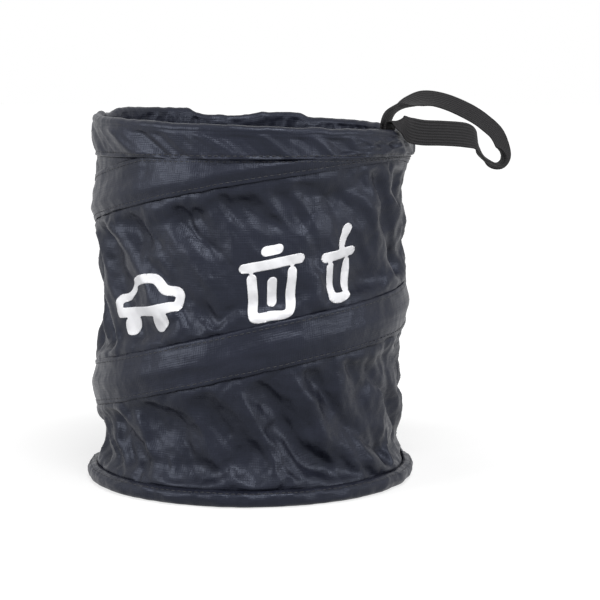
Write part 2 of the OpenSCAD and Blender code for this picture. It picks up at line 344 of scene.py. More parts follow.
def ridges_at(points, size, seed):
    """Noise with sharp ridges, from 0 to 1."""
    return 1 - np.abs(noise_at(points, size, seed)) * 1.8


def facets_at(points, size, seed):
    """Flat-sided dents about size across that meet in straight creases, from about -0.5 to 0.5."""
    moved = points.reshape(-1, 3) / size + np.array([3.1, 7.9, 5.3]) * seed
    depth = [noise.voronoi(p, distance_metric="MANHATTAN")[0][0] for p in moved.tolist()]
    return 0.68 * np.array(depth).reshape(points.shape[:-1]) - 0.5


def link(name, points, faces):
    """A mesh object made of points in millimetres."""
    mesh = bpy.data.meshes.new(name)
    mesh.from_pydata((np.asarray(points).reshape(-1, 3) * MM).tolist(), [], faces)
    mesh.validate()
    mesh.shade_smooth()
    piece = bpy.data.objects.new(name, mesh)
    bpy.context.scene.collection.objects.link(piece)
    return piece


def quads(n, m, round_i, round_j=False, start=0, flip=False):
    """Faces of a grid of n by m points, which may close along either direction."""
    columns = np.arange(n if round_i else n - 1)
    rows = np.arange(m if round_j else m - 1)
    i, j = (g.ravel() for g in np.meshgrid(columns, rows, indexing="ij"))
    p, q = (i + 1) % n, (j + 1) % m
    corners = [i * m + j, p * m + j, p * m + q, i * m + q]
    if flip:
        corners = corners[::-1]
    return np.stack(corners, -1) + start


def normals_of(grid, round_i, round_j=False):
    """Unit normals of a grid of points."""
    def along(axis, is_round):
        if is_round:
            return np.roll(grid, -1, axis) - np.roll(grid, 1, axis)
        return np.gradient(grid, axis=axis)

    return unit(np.cross(along(0, round_i), along(1, round_j)))


def lay_uv(piece, u, v):
    """UV map in metres along the cloth, from millimetres for each corner of each face."""
    layer = piece.data.uv_layers.new(name="cloth")
    layer.data.foreach_set("uv", (np.stack([u, v], -1) * MM).ravel().astype(np.float32))


def sheet_solid(name, outer, thick, round_i, flat_u, flat_v):
    """A thin closed solid from the outer face of a piece of cloth, with a UV map along the cloth."""
    n, m = outer.shape[:2]
    inner = outer - normals_of(outer, round_i) * thick
    points = np.concatenate([outer.reshape(-1, 3), inner.reshape(-1, 3)])
    faces = [quads(n, m, round_i), quads(n, m, round_i, start=n * m, flip=True)]
    steps = n if round_i else n - 1
    i = np.arange(steps)
    p = (i + 1) % n
    for j, turned in ((0, False), (m - 1, True)):
        rim = [i * m + j, i * m + j + n * m, p * m + j + n * m, p * m + j]
        faces.append(np.stack(rim[::-1] if turned else rim, -1))
    if not round_i:
        j = np.arange(m - 1)
        for i0, turned in ((0, False), (n - 1, True)):
            rim = [i0 * m + j, i0 * m + j + 1, i0 * m + j + 1 + n * m, i0 * m + j + n * m]
            faces.append(np.stack(rim[::-1] if turned else rim, -1))
    faces = np.concatenate(faces)
    piece = link(name, points, faces.tolist())
    local = faces % (n * m)
    col, row = local // m, local % m
    wraps = (col == 0) & ((col.max(1) == n - 1)[:, None]) & round_i
    u = (col + wraps * n) / (n if round_i else n - 1) * flat_u
    v = row / (m - 1) * flat_v
    lay_uv(piece, u, v)
    return piece


def refined(grid):
    """A grid that closes around, with twice as many points each way on smooth curves."""
    def halfway(g, axis, is_round):
        g = np.moveaxis(g, axis, 0)
        if is_round:
            before, after, far = np.roll(g, 1, 0), np.roll(g, -1, 0), np.roll(g, -2, 0)
            here = g
        else:
            ends = np.concatenate([2 * g[:1] - g[1:2], g, 2 * g[-1:] - g[-2:-1]])
            before, here, after, far = ends[:-3], ends[1:-2], ends[2:-1], ends[3:]
        middle = (9 * (here + after) - before - far) / 16
        both = np.empty((2 * len(g) if is_round else 2 * len(g) - 1,) + g.shape[1:])
        both[0::2] = g
        both[1::2] = middle
        return np.moveaxis(both, 0, axis)

    return halfway(halfway(grid, 0, True), 1, False)


def settle(sewn, cut, pinned):
    """Lets the slack wall crumple between its seams, from its size as it was cut to where the
    seams hold it."""
    n, m = sewn.shape[:2]
    nudged = cut + normals_of(cut, True) * noise_at(cut, 11, 5)[..., None] * 0.5
    cloth = link("wall_settling", nudged / SETTLE_UNIT / MM, quads(n, m, True).tolist())
    cloth.shape_key_add(name="cut")
    key = cloth.shape_key_add(name="sewn")
    key.data.foreach_set("co", (sewn / SETTLE_UNIT).ravel().astype(np.float32))
    key.value = 0
    key.keyframe_insert("value", frame=1)
    key.value = 1
    key.keyframe_insert("value", frame=SETTLE_FRAMES // 2)
    group = cloth.vertex_groups.new(name="seams")
    group.add(np.flatnonzero(pinned.ravel()).tolist(), 1.0, "REPLACE")
    modifier = cloth.modifiers.new("settle", "CLOTH")
    s = modifier.settings
    s.quality = 5
    s.mass = 0.2
    s.tension_stiffness = 25
    s.compression_stiffness = 25
    s.shear_stiffness = 12
    s.bending_stiffness = 0.03
    s.tension_damping = 8
    s.compression_damping = 8
    s.shear_damping = 8
    s.bending_damping = 0.5
    s.air_damping = 3
    s.vertex_group_mass = "seams"
    s.pin_stiffness = 5
    s.effector_weights.gravity = 0.15
    modifier.collision_settings.use_collision = False
    modifier.point_cache.frame_start = 1
    modifier.point_cache.frame_end = SETTLE_FRAMES
    for frame_no in range(1, SETTLE_FRAMES + 1):
        bpy.context.scene.frame_set(frame_no)
    settled = cloth.evaluated_get(bpy.context.evaluated_depsgraph_get())
    co = np.empty(n * m * 3, np.float32)
    settled.data.vertices.foreach_get("co", co)
    bpy.context.scene.frame_set(1)
    bpy.data.objects.remove(cloth)
    return co.reshape(n, m, 3).astype(float) * SETTLE_UNIT


def wall_places(columns, rows):
    """Angles and heights of the wall's grid: columns around, rows from the base up."""
    a = np.arange(columns) * 360 / columns
    z = np.linspace(WALL_LOW, WALL_TOP, rows)
    return np.meshgrid(a, z, indexing="ij")


def wall_draped():
    """The wall with its main folds, settled between the seams on a grid half as fine."""
    a, z = wall_places(WALL_COLUMNS // 2, (WALL_ROWS + 1) // 2)
    folded = WALL_R - FOLD_OVER * (WALL_R - wall_face(a, z))
    sewn = at(a, WALL_R, z)
    share = (z - WALL_LOW) / (WALL_TOP - WALL_LOW)
    turn = WALL_SHEAR * share + np.degrees(0.8 * noise_at(sewn, 34, 3) / WALL_R)
    height = share * (WALL_TOP - WALL_LOW) * WALL_TALL + 0.8 * noise_at(sewn, 30, 4)
    wide = folded * (WALL_WIDE + 0.008 * noise_at(sewn, 70, 6))
    cut = np.stack([wide * cos_of(a + turn), wide * sin_of(a + turn), WALL_LOW + height], -1)
    return settle(sewn, cut, off_seam(a, z) <= 0.9)


def wall_cloth():
    """Outer face of the wall: the draped cloth with creases of three sizes."""
    grid = refined(wall_draped())
    a, z = wall_places(WALL_COLUMNS, WALL_ROWS)
    free = off_seam(a, z)
    loose = ease(free / 9) * (0.35 + 0.65 * calm_of(a, z))
    place = at(a, WALL_R, z)
    warp = 2 * noise_at(place, 40, 7)
    crumple = 7 * facets_at(sewn_slant(place, 0.5, warp), 20, 8) - 1
    crumple += 2.8 * facets_at(sewn_slant(place, 0.5, warp), 10, 9)
    crumple += 0.9 * facets_at(sewn_slant(place, 0.6, warp), 5, 11)
    small = noise_at(place, 5, 12)
    grid += normals_of(grid, True) * (loose * (crumple + 0.1 * small))[..., None]
    lean = lean_x(grid[..., 2])
    away = np.hypot(grid[..., 0] - lean, grid[..., 1])
    most = np.where(free < 1, COVERED_OUT, WALL_OUT)
    kept = clamp(away, WALL_R - WALL_IN, WALL_R + most)
    grid[..., 0] = (grid[..., 0] - lean) * kept / away + lean
    grid[..., 1] *= kept / away
    return grid


def sewn_slant(points, along, warp):
    """Stretches a pattern along the pull of the cloth, down and to the right."""
    z = points[..., 2]
    turn = np.arctan2(points[..., 1], points[..., 0]) + (0.6 * (z - SEAM_Z / 2) + warp) / WALL_R
    return np.stack([WALL_R * np.cos(turn), WALL_R * np.sin(turn), along * z], -1)


class Cloth:
    """The settled wall, from which the print reads its place."""

    def __init__(self, grid):
        self.grid = grid
        self.normals = normals_of(grid, True)

    def point(self, a, z, lift):
        """Points on the outer face for angles and heights along the cloth, raised by lift."""
        x = (a % 360) / 360 * WALL_COLUMNS
        y = clamp((z - WALL_LOW) / (WALL_TOP - WALL_LOW) * (WALL_ROWS - 1), 0, WALL_ROWS - 1.001)
        i, j = np.floor(x).astype(int), np.floor(y).astype(int)
        s, t = (x - i)[..., None], (y - j)[..., None]
        i, p = i % WALL_COLUMNS, (i + 1) % WALL_COLUMNS

        def blend_of(g):
            low = g[i, j] * (1 - s) + g[p, j] * s
            high = g[i, j + 1] * (1 - s) + g[p, j + 1] * s
            return low * (1 - t) + high * t

        return blend_of(self.grid) + unit(blend_of(self.normals)) * lift


def band_tent(h, below, above):
    """Rise of the casing strip over its wire, h above the wire's middle."""
    s = np.where(h < 0, -h / below, h / above)
    round_off = 0.13
    s = (np.sqrt(s * s + round_off**2) - round_off) / (math.sqrt(1 + round_off**2) - round_off)
    return BAND_BULGE * (1 - clamp(s, 0, 1)) ** 1.25


def band_cloth():
    """Outer face of the spiral casing as a grid: along the spiral, then from edge to edge."""
    a, share = np.meshgrid(BAND_A, np.linspace(0, 1, BAND_ROWS), indexing="ij")
    mid = wire_z(a)
    wide = band_hi(a) - band_lo(a)
    grown = ease((wide - 3) / 10)
    edge = at(a, WALL_R, mid)
    ripple = 0.45 * noise_at(edge, 9, 21) * grown
    low, high = band_lo(a) + ripple * (band_lo(a) > BASE_H + 1), band_hi(a)
    z = low + (high - low) * share
    h = z - mid
    rise = band_tent(h, mid - low + 0.1, np.maximum(high - mid, 0) + 0.4)
    to_edge = np.minimum(z - low, high - z)
    flank = ease(to_edge / 4) * ease(np.abs(h) / 3.5) * grown
    place = at(a, WALL_R, z)
    arc = a * ONE_DEGREE
    along = np.stack([arc / 3.2, h, 0 * z], -1)
    slanted = np.stack([(arc + 1.6 * h) / 1.3, h * 0.5, 0 * z], -1)
    folds = 0.75 * flank * noise_at(along, 6, 23) + 0.35 * flank * noise_at(slanted, 8, 24)
    tucks = (clamp(ridges_at(slanted, 4.2, 25), 0, 1) ** 2 - 0.35) * hump(to_edge, 3.2)
    hem = 0.22 * hump(to_edge - 0.9, 0.6) - 0.2 * hump(to_edge - 2.1, 0.5)
    r = WALL_R + 0.55 + rise + folds + 0.42 * tucks * grown + hem * grown
    r += 0.1 * noise_at(place, 3.5, 26)
    return at(a, np.maximum(r, WALL_R + 0.42), z)


def rim_parts():
    """Outer face of the rim casing as a grid: around, then up the outer leaf and down the inner."""
    a = np.arange(RIM_COLUMNS) * 360 / RIM_COLUMNS
    run = np.linspace(0, 1, RIM_ROWS)
    a, run = np.meshgrid(a, run, indexing="ij")
    top = rim_top(a) + rim_lift(a)
    h = top - SEAM_Z
    outer_r = SPIRAL_R + WIRE_R + RIM_OUT
    inner_r = WALL_R - RIM_IN
    crest_r = (outer_r + inner_r) / 2
    half = (outer_r - inner_r) / 2
    up = run / RIM_TURN_LOW
    over = (run - RIM_TURN_LOW) / (RIM_TURN_HIGH - RIM_TURN_LOW)
    down = (run - RIM_TURN_HIGH) / (1 - RIM_TURN_HIGH)
    foot_r = WALL_R + RIM_FOOT
    strands = [wire_z(a + 360 * k) - SEAM_Z for k in (TURNS - 1, TURNS)]
    near = np.minimum.reduce([s + (RIM_H - s) * ease((-5 - s) / 6) for s in strands])
    clear = np.maximum(near - 2.2, 0)
    z_up = SEAM_Z + (h - half) * up
    rise_up = clamp(((h - half) * up + 1.5) / (clear + 1.5), 0, 1)
    r_up = foot_r + (outer_r - foot_r) * rise_up
    turn = 180 * over
    r_over, z_over = crest_r + half * cos_of(turn), top - half + half * sin_of(turn)
    r_down, z_down = inner_r + 0 * run, top - half - (h - half + HEM_DROP) * down
    on_outer, on_turn = run < RIM_TURN_LOW, run < RIM_TURN_HIGH
    r = np.where(on_outer, r_up, np.where(on_turn, r_over, r_down))
    z = np.where(on_outer, z_up, np.where(on_turn, z_over, z_down))
    return a, run, r, z


def rim_lift(a):
    """Steps and waves of the rim's top edge, where the slack cloth stands up in tufts."""
    around = at(a, WALL_R, 0 * a)
    waves = 0.4 * noise_at(around, 24, 31) + 0.4 * noise_at(around, 8, 32)
    waves += 0.5 * facets_at(around, 5, 41)
    tufts = [high * ease((a - start) / 5) * ease((end - a) / 7) for start, end, high in RIM_TUFTS]
    return waves + sum(tufts) - 0.7 * ease((a - 93) / 3) * ease((113 - a) / 3)


def least_cover(a, z):
    """How deep the rim casing's folds may go: short of the wire, and clear of its crimp sleeve."""
    covered = np.maximum.reduce([hump(z - wire_z(a + 360 * k), 2.4) for k in (TURNS - 1, TURNS)])
    strands = wire_z(SWEEP), wire_z(SWEEP + 360)
    off_sleeve = (z - sum(strands) / 2) / (abs(strands[1] - strands[0]) / 2 + 3)
    on_sleeve = ease((12 - off_strap(a)) / 6) * np.exp(-off_sleeve**4)
    return np.maximum(RIM_DEEPEST + 3.7 * covered, RIM_DEEPEST + 4.9 * on_sleeve)


def rim_cloth():
    """The rim casing with its slanting folds, crest roll and crinkled inner leaf."""
    a, run, r, z = rim_parts()
    grid = at(a, r, z)
    arc, tall = a * ONE_DEGREE, z - SEAM_Z
    leaf = ease(run / 0.07) * ease((RIM_TURN_LOW - 0.03 - run) / 0.09)
    inside = ease((run - RIM_TURN_HIGH) / 0.05)
    ring = at(a, WALL_R, 0 * z)
    warp = 5 * noise_at(ring + tall[..., None] * [0, 0, 1], 30, 33)
    turn = np.radians(a + np.degrees((1.5 * tall + warp) / WALL_R))
    slanted = np.stack([WALL_R * np.cos(turn), WALL_R * np.sin(turn), 0.3 * tall], -1)
    folds = 4.2 * facets_at(slanted, 20, 37) + 1.2 * facets_at(slanted, 9, 34)
    place = grid * [1, 1, 0.4]
    crinkle = 1.1 * facets_at(place, 5, 39) + 0.8 * noise_at(place, 11, 36)
    hem = 0.25 * hump(run - 0.02, 0.012) - 0.25 * hump(run - 0.05, 0.01)
    pucker = 0.5 * facets_at(ring, 4.5, 35) * hump(run - 0.05, 0.05)
    groove = -0.5 * hump(run - RIM_TURN_LOW + 0.035, 0.014) * (0.8 + 0.5 * noise_at(ring, 20, 40))
    small = 0.06 * noise_at(grid, 3.5, 38)
    gather = ease(1 - np.abs(a - GATHER_A) / GATHER_REACH) * leaf * ease(tall / 6)
    gathers = 3 * facets_at(np.stack([arc / 3, tall, 0 * tall], -1), 3.2, 42) * gather
    moved = leaf * folds + inside * crinkle + hem + pucker + gathers + groove + small
    moved = np.where(run < RIM_TURN_LOW, np.maximum(moved, least_cover(a, z)), moved)
    return grid + normals_of(grid, True) * moved[..., None]


def base_cloth():
    """Outer face of the base ring casing as a grid: around, then round its D-shaped section."""
    a = np.arange(BASE_COLUMNS) * 360 / BASE_COLUMNS
    face = np.linspace(-90, 90, BASE_ROWS)
    back = np.linspace(0, 1, 6)[1:-1]
    bulge = np.concatenate([np.maximum(cos_of(face), 0) ** 0.6, 0 * back])
    height = np.concatenate([(1 + sin_of(face)) / 2, 1 - back])
    a, bulge = np.meshgrid(a, bulge, indexing="ij")
    height = np.broadcast_to(height, a.shape)
    around = at(a, BASE_IN, 0 * a)
    tall = BASE_H + 0.35 * noise_at(around, 26, 51) + 0.3 * noise_at(around, 9, 52)
    r = BASE_IN + (BASE_W + 0.3 * noise_at(around, 30, 53)) * bulge
    place = at(a, r, tall * height)
    upper = ease((height - 0.35) / 0.5)
    slanted = place * [1, 1, 0.6]
    tucks = clamp(ridges_at(slanted, 5, 54), 0, 1) ** 2 - 0.4
    long_waves = facets_at(place * [0.35, 0.35, 1], 5, 56)
    creases = 0.5 * tucks * upper + 1.1 * long_waves + 0.7 * facets_at(slanted, 7, 55)
    out = creases * ease(bulge / 0.5)
    groove = -0.35 * hump(height - 0.93, 0.05) * (bulge > 0)
    z = np.maximum(tall * height + 0.25 * tucks * upper * (bulge > 0.1), 0.02)
    return at(a, r + out + groove, z)


def ring_solid(name, outer, thick, flat_u, flat_v):
    """A hollow closed ring from the grid of its outer face, with a UV map along the cloth."""
    n, m = outer.shape[:2]
    inner = outer - normals_of(outer, True, True) * thick
    points = np.concatenate([outer.reshape(-1, 3), inner.reshape(-1, 3)])
    faces = np.concatenate([quads(n, m, True, True), quads(n, m, True, True, start=n * m, flip=True)])
    piece = link(name, points, faces.tolist())
    local = faces % (n * m)
    col, row = local // m, local % m
    u = col + n * ((col == 0) & (col.max(1) == n - 1)[:, None])
    v = row + m * ((row == 0) & (row.max(1) == m - 1)[:, None])
    lay_uv(piece, u / n * flat_u, v / m * flat_v)
    return piece


def panel_piece():
    """Round base panel with a few soft waves, as a closed disc."""
    rings, spokes = 30, 144
    share = np.linspace(1 / rings, 1, rings)
    a = np.arange(spokes) * 360 / spokes
    a, share = np.meshgrid(a, share, indexing="ij")
    flat = at(a, (WALL_R + 0.1) * share, 0 * a)
    near_edge = ease((share - 0.75) / 0.25)
    pucker = near_edge * 0.22 * ridges_at(flat, 7, 61)
    wave = 0.3 + 0.25 * noise_at(flat, 38, 62)
    top, low = flat.copy(), flat.copy()
    top[..., 2] = PANEL_T + 0.1 + wave + pucker - 0.15 * near_edge
    low[..., 2] = 0.12 + 0.1 * pucker
    count = spokes * rings
    middle = [[0, 0, float(PANEL_T + 0.1 + wave[:, 0].mean())], [0, 0, 0.12]]
    points = np.concatenate([top.reshape(-1, 3), low.reshape(-1, 3), middle])
    i = np.arange(spokes)
    p = (i + 1) % spokes
    faces = quads(spokes, rings, True, flip=True).tolist()
    faces += quads(spokes, rings, True, start=count).tolist()
    edge = np.stack([i * rings + rings - 1, i * rings + rings - 1 + count,
                     p * rings + rings - 1 + count, p * rings + rings - 1], -1)
    faces += edge.tolist()
    faces += np.stack([np.full(spokes, 2 * count), i * rings, p * rings], -1).tolist()
    faces += np.stack([np.full(spokes, 2 * count + 1), p * rings + count, i * rings + count], -1).tolist()
    piece = link("base_panel_cloth", points, faces)
    loops = np.array([loop.vertex_index for loop in piece.data.loops])
    lay_uv(piece, points[loops, 0], points[loops, 1])
    return piece


def spline(points, count):
    """Smooth curve through a list of points, with count pieces between two of them."""
    p = np.array(points, float)
    p = np.concatenate([p[:1], p, p[-1:]])
    t = (np.arange(count) / count)[:, None]
    found = []
    for a, b, c, d in zip(p[:-3], p[1:-2], p[2:-1], p[3:]):
        bend = (2 * a - 5 * b + 4 * c - d) * t**2 + (3 * b - a - 3 * c + d) * t**3
        found.append(0.5 * (2 * b + (c - a) * t + bend))
    return np.concatenate(found + [p[-1:]])


# The strap's route from the far tail round the loop to the near tail: offsets from where the near
# tail crosses the rim, and the direction of the strap's width there.
ROOT_SIDE = (0.485, 0.875, 0)
STRAP_ROUTE = [
    ((-1.4, 0.8, -9), ROOT_SIDE),
    ((-1.4, 0.8, 0), ROOT_SIDE),
    ((-0.7, 1.5, 4), ROOT_SIDE),
    ((2.3, 6, 7.4), (0.3, 0.95, 0)),
    ((5, 11, 9.3), (0.1, 0.99, 0)),
    ((8.5, 16, 11), (0, 0.98, 0.15)),
    ((14, 24, 13.3), (-0.1, 0.93, 0.35)),
    ((22, 33, 14.7), (-0.05, 0.83, 0.55)),
    ((32, 39.5, 12.7), (0.1, 0.77, 0.63)),
    ((43, 43, 8), (0.3, 0.74, 0.6)),
    ((50, 43, 3.5), (0.38, 0.74, 0.55)),
    ((56, 40, -2.5), (0.5, 0.75, 0.4)),
    ((58.7, 36, -10), (0.65, 0.76, 0)),
    ((57.5, 32, -14.5), (0.4, 0.9, 0)),
    ((53.5, 27, -16.5), (0, 1, 0)),
    ((47, 20, -13), (0, 1, 0)),
    ((44, 16, -8.5), (0.1, 1, 0.1)),
    ((41.5, 12, -4), (0.1, 0.6, 0.75)),
    ((36, 8.7, -2.2), (0, 0.15, 1)),
    ((26, 5, -1.4), (0, 0, 1)),
    ((16, 2, -1), (0, 0, 1)),
    ((10, 0.2, 0.3), (0, 0.2, 0.95)),
    ((6, -2, 3), (0.2, 0.75, 0.6)),
    ((2.8, -1.3, 4), ROOT_SIDE),
    ((0.4, -0.2, 2), ROOT_SIDE),
    ((0, 0, -9), ROOT_SIDE),
]


def strap_piece():
    """Elastic strap with lengthwise ribs, swept along its route."""
    root = at(STRAP_A, WALL_R - STRAP_SEAT, rim_top(STRAP_A))
    middle = spline([root + np.array(p) for p, w in STRAP_ROUTE], STRAP_SPANS)
    width = spline([w for p, w in STRAP_ROUTE], STRAP_SPANS)
    along = unit(np.gradient(middle, axis=0))
    width = unit(width - along * (width * along).sum(1, keepdims=True))
    across = np.cross(along, width)
    x = np.linspace(-1, 1, STRAP_RIBS * RIB_STEPS + 1)
    thick = (STRAP_T / 2 - RIB_RISE) * np.sqrt(np.maximum(1 - np.abs(x) ** 14, 0.05))
    rib = thick + RIB_RISE * np.abs(np.sin(np.pi * STRAP_RIBS * (x + 1) / 2)) * (np.abs(x) < 0.999)
    u = np.concatenate([x, x[::-1]]) * STRAP_W / 2
    t = np.concatenate([rib, -rib[::-1]])
    run = run_of(middle)
    curl = 1 + 0.02 * np.sin(run / 9)[:, None, None]
    loops = middle[:, None] + width[:, None] * (u[:, None] * curl) + across[:, None] * t[:, None]
    n, m = loops.shape[:2]
    points = np.concatenate([loops.reshape(-1, 3), middle[:1], middle[-1:]])
    faces = quads(n, m, False, True, flip=True)
    j = np.arange(m)
    k = (j + 1) % m
    caps = np.concatenate([np.stack([np.full(m, n * m), j, k], -1),
                           np.stack([np.full(m, n * m + 1), (n - 1) * m + k, (n - 1) * m + j], -1)])
    piece = link("strap_elastic", points, faces.tolist() + caps.tolist())
    place_u = np.concatenate([np.tile(u, n), [0, 0]])
    place_v = np.concatenate([np.repeat(run, m), run[:1], run[-1:]])
    corner = np.array([loop.vertex_index for loop in piece.data.loops])
    lay_uv(piece, place_u[corner], place_v[corner])
    return piece


def tube_faces(n, m):
    """Faces of a tube of n loops of m points, with both ends closed."""
    ends = [list(range(m))[::-1], [(n - 1) * m + j for j in range(m)]]
    return quads(n, m, False, True).tolist() + ends


def wire_piece(name, start, end):
    """A stretch of the spring wire, which is one bend from the base ring to the rim ring."""
    a = np.linspace(start, end, int((end - start) / WIRE_STEP))
    f = np.arange(WIRE_SIDES) * 360 / WIRE_SIDES
    a, f = np.meshgrid(a, f, indexing="ij")
    loops = at(a, wire_path_r(a) + WIRE_R * cos_of(f), wire_z(a) + WIRE_R * sin_of(f))
    return link(name, loops, tube_faces(*loops.shape[:2]))


def ring_path(x, y, r):
    return [(x + r * math.cos(k * math.pi / 12), y + r * math.sin(k * math.pi / 12)) for k in range(24)]


def print_strokes():
    """Plain pictograms as strokes: the direction they face, the path, and whether it closes."""
    body = [(-19, -2), (-19, 2.5), (-12, 4.5), (-6.5, 10.5), (5.5, 10.5), (12, 4.5), (19, 2.5), (19, -2),
            (18, -3.5)]
    car = [tuple(p) for p in spline(body, 6)] + [(-18, -3.5)]
    tub = spline([(-9.5, 5), (-8.6, -4), (-7.8, -13), (0, -13.4), (7.8, -13), (8.6, -4), (9.5, 5)], 6)
    cup = spline([(-5.5, 3), (-4.8, -4), (-4, -11), (4, -11), (4.8, -4), (5.5, 3)], 6)
    return [
        (CAR_A, car, True),
        (CAR_A, ring_path(-10, -9.2, 2.5), True),
        (CAR_A, ring_path(10, -9.2, 2.5), True),
        (BIN_A, tub, False),
        (BIN_A, [(-13, 10), (13, 10)], False),
        (BIN_A, [(0, 2), (0, -7)], False),
        (BIN_A, [(-3, 16), (3, 16)], False),
        (CUP_A, cup, False),
        (CUP_A, [(-8, 7.6), (8, 7.6)], False),
        (CUP_A, [(1.5, 11.5), (3, 15), (4.5, 18.5)], False),
    ]


def stroke_depth(x, y, path, closes):
    """Distance from a stroke's edge, negative inside it."""
    p = np.array(path, float)
    q = np.roll(p, -1, 0) if closes else p[1:]
    p = p if closes else p[:-1]
    best = np.full(x.shape, 1e9)
    for (x0, y0), (x1, y1) in zip(p, q):
        dx, dy = x1 - x0, y1 - y0
        t = clamp(((x - x0) * dx + (y - y0) * dy) / (dx * dx + dy * dy), 0, 1)
        best = np.minimum(best, np.hypot(x - x0 - t * dx, y - y0 - t * dy))
    return best - STROKE_W / 2


def print_piece(cloth):
    """The thick white print, cut to the strokes' outlines and laid on every crease of the wall."""
    points, faces, count = [], [], 0
    for facing in (CAR_A, BIN_A, CUP_A):
        strokes = [(path, closes) for a0, path, closes in print_strokes() if a0 == facing]
        across, up = np.arange(*PRINT_X, PRINT_CELL), np.arange(*PRINT_Y, PRINT_CELL)
        x, y = np.meshgrid(across, up, indexing="ij")

        def depth(x, y):
            return np.minimum.reduce([stroke_depth(x, y, path, closes) for path, closes in strokes])

        d = depth(x, y)
        small = 0.05
        gx, gy = (depth(x + small, y) - d) / small, (depth(x, y + small) - d) / small
        close = np.abs(d) < 0.6 * PRINT_CELL
        x, y = x - close * d * gx, y - close * d * gy
        inside = close | (d < 0)
        grid = quads(*x.shape, False)
        fits = inside.ravel()[grid]
        whole = grid[fits.all(1)]
        three = grid[fits.sum(1) == 3]
        left = three[inside.ravel()[three]].reshape(-1, 3)
        a = facing + np.degrees(x / WALL_R)
        z = mark_height(a) + y
        places = np.stack([a.ravel(), z.ravel()], -1)
        edges = [np.stack([c, np.roll(c, -1, 1)], -1).reshape(-1, 2) for c in (whole, left)]
        edges = np.concatenate(edges)
        known = {(int(p), int(q)) for p, q in edges}
        border = np.array([e for e in known if (e[1], e[0]) not in known])
        border = border[np.lexsort(border.T)]
        used = np.unique(edges)
        index = np.full(len(places), -1)
        index[used] = np.arange(len(used))
        top = cloth.point(places[used, 0], places[used, 1], PRINT_LIFT)
        low = cloth.point(places[used, 0], places[used, 1], PRINT_SINK)
        points += [top, low]
        rise, sink = count, count + len(used)
        count += 2 * len(used)
        for corners in (whole, left):
            if len(corners):
                faces += (index[corners] + rise).tolist() + (index[corners][:, ::-1] + sink).tolist()
        p, q = index[border[:, 0]], index[border[:, 1]]
        faces += np.stack([q + rise, p + rise, p + sink, q + sink], -1).tolist()
    return link("print_white", np.concatenate(points), faces)


def between_rows(grid, share):
    """Points across a grid at a share of its rows, one for each column."""
    m = grid.shape[1]
    x = clamp(np.broadcast_to(share, grid.shape[:1]) * (m - 1), 0, m - 1.001)
    j = np.floor(x).astype(int)
    t = (x - j)[:, None]
    i = np.arange(len(grid))
    return grid[i, j] * (1 - t) + grid[i, j + 1] * t


def stitches(name, path, facing, closes=False):
    """A row of sewing stitches along a path on the cloth, each a short arched thread."""
    if closes:
        path, facing = np.concatenate([path, path[:1]]), np.concatenate([facing, facing[:1]])
    run = run_of(path)
    count = int(run[-1] / STITCH_PITCH)
    share = np.array([0.06, 0.2, 0.5, 0.8, 0.94])
    places = (np.arange(count)[:, None] + 0.5 + (share - 0.5) * 0.8) * STITCH_PITCH

    def along(values):
        return np.stack([np.interp(places, run, values[:, k]) for k in range(3)], -1)

    up = unit(along(facing))
    middle = along(path) + up * np.array([-0.1, 0.06, 0.13, 0.06, -0.1])[:, None]
    side = unit(np.cross(up, np.gradient(middle, axis=1)))
    sides = 6
    f = np.arange(sides) * 360 / sides
    size = (THREAD_D / 2 * np.array([0.55, 0.95, 1, 0.95, 0.55]))[:, None, None]
    around = side[:, :, None] * cos_of(f)[:, None] + up[:, :, None] * sin_of(f)[:, None]
    loops = middle[:, :, None] + around * size
    one = tube_faces(len(share), sides)
    corners = len(share) * sides
    faces = [[c + corners * k for c in face] for k in range(count) for face in one]
    return link(name, loops, faces)


def seam(name, grid, share, round_i=False, round_j=False, skip=0):
    """A row of stitches along a piece of cloth, at a share of the way across it."""
    path = between_rows(grid, share)[skip:]
    facing = between_rows(normals_of(grid, round_i, round_j), share)[skip:]
    return stitches(name, path, facing, round_i)


class Value:
    """A value in a material. Arithmetic on it adds the Math nodes."""

    def __init__(self, finish, socket):
        self.finish = finish
        self.socket = socket

    def math(self, operation, *others):
        return self.finish.add("ShaderNodeMath", {"operation": operation}, [self, *others])

    def __add__(self, other):
        return self.math("ADD", other)

    def __mul__(self, other):
        return self.math("MULTIPLY", other)

    def __sub__(self, other):
        return self.math("SUBTRACT", other)

    def __rsub__(self, other):
        return self.finish.add("ShaderNodeMath", {"operation": "SUBTRACT"}, [other, self])

    __radd__ = __add__
    __rmul__ = __mul__


